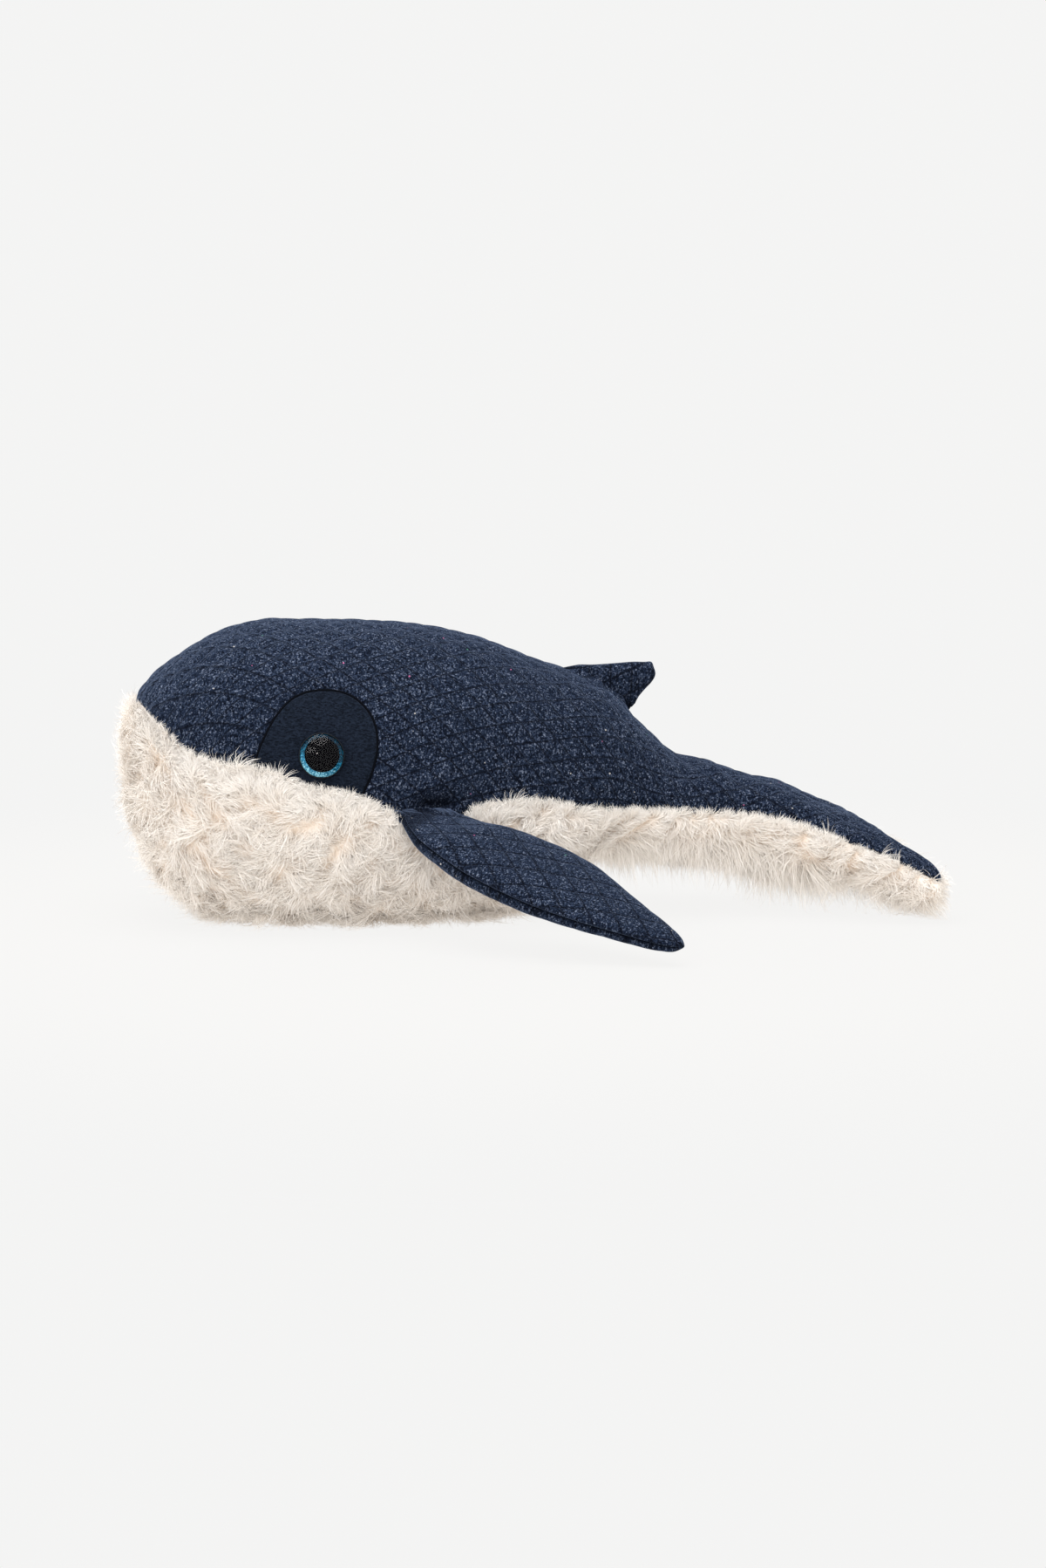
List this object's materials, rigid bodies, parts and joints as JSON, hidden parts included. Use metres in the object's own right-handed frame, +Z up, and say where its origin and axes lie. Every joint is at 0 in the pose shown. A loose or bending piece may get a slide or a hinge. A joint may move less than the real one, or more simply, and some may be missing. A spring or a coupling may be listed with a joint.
{
  "type": "plush whale",
  "caption": "Stuffed plush whale with a quilted navy back, cream pile belly, swept pectoral fins, a small dorsal fin, drooping tail flukes and domed safety eyes.",
  "frame": {"origin": "centre of the footprint, on the surface the whale rests on", "axes": "+X from the nose to the tail, +Y from the whale's left side to its right, +Z up"},
  "size_m": [0.549, 0.4282, 0.207],
  "materials": {
    "quilted_navy": "quilted navy melange jersey, matt",
    "plain_navy": "plain dark navy knit, matt",
    "cream_fur": "long cream pile",
    "stuffing": "loose polyester fibre",
    "eye_clear": "clear moulded dome",
    "eye_black": "glossy black",
    "eye_glitter": "teal glitter",
    "eye_plastic": "black moulded plastic"
  },
  "bodies": {
    "body": {"body_stuffing": "stuffing", "belly_fur_panel": "cream_fur", "back_panel_left": "quilted_navy", "back_panel_right": "quilted_navy", "eye_patch_left": "plain_navy", "eye_patch_right": "plain_navy", "eye_back_left": "eye_plastic", "eye_back_right": "eye_plastic", "eye_glitter_left": "eye_glitter", "eye_glitter_right": "eye_glitter", "eye_pupil_left": "eye_black", "eye_pupil_right": "eye_black", "eye_lens_left": "eye_clear", "eye_lens_right": "eye_clear", "eye_washer_left": "eye_plastic", "eye_washer_right": "eye_plastic"},
    "tail": {"fluke_stuffing": "stuffing", "fluke_top_panel": "quilted_navy", "fluke_under_panel": "cream_fur"},
    "left_fin": {"pectoral_fin_left_stuffing": "stuffing", "pectoral_fin_left_upper_panel": "quilted_navy", "pectoral_fin_left_lower_panel": "quilted_navy"},
    "right_fin": {"pectoral_fin_right_stuffing": "stuffing", "pectoral_fin_right_upper_panel": "quilted_navy", "pectoral_fin_right_lower_panel": "quilted_navy"},
    "back_fin": {"dorsal_fin_stuffing": "stuffing", "dorsal_fin_left_panel": "quilted_navy", "dorsal_fin_right_panel": "quilted_navy"}
  },
  "joints": [
    {"name": "tail_lift", "type": "hinge", "parent": "body", "child": "tail", "pos_m": [0.1315, 0, 0.07307], "axis": [0, -1, 0], "range_deg": [-15, 15], "stiffness_Nm_per_rad": 1.5, "springref_deg": 1.15},
    {"name": "left_fin_flap", "type": "hinge", "parent": "body", "child": "left_fin", "pos_m": [-0.07671, -0.09699, 0.08162], "axis": [-0.9866, -0.1629, 0.004], "range_deg": [-12, 60], "stiffness_Nm_per_rad": 0.4, "springref_deg": 1.43},
    {"name": "right_fin_flap", "type": "hinge", "parent": "body", "child": "right_fin", "pos_m": [-0.07671, 0.09699, 0.08162], "axis": [0.9866, -0.1629, -0.004], "range_deg": [-12, 60], "stiffness_Nm_per_rad": 0.4, "springref_deg": 1.43},
    {"name": "back_fin_flop", "type": "hinge", "parent": "body", "child": "back_fin", "pos_m": [0.04533, 0, 0.16026], "axis": [0.8299, 0, -0.5579], "range_deg": [-20, 20], "stiffness_Nm_per_rad": 0.1}
  ]
}
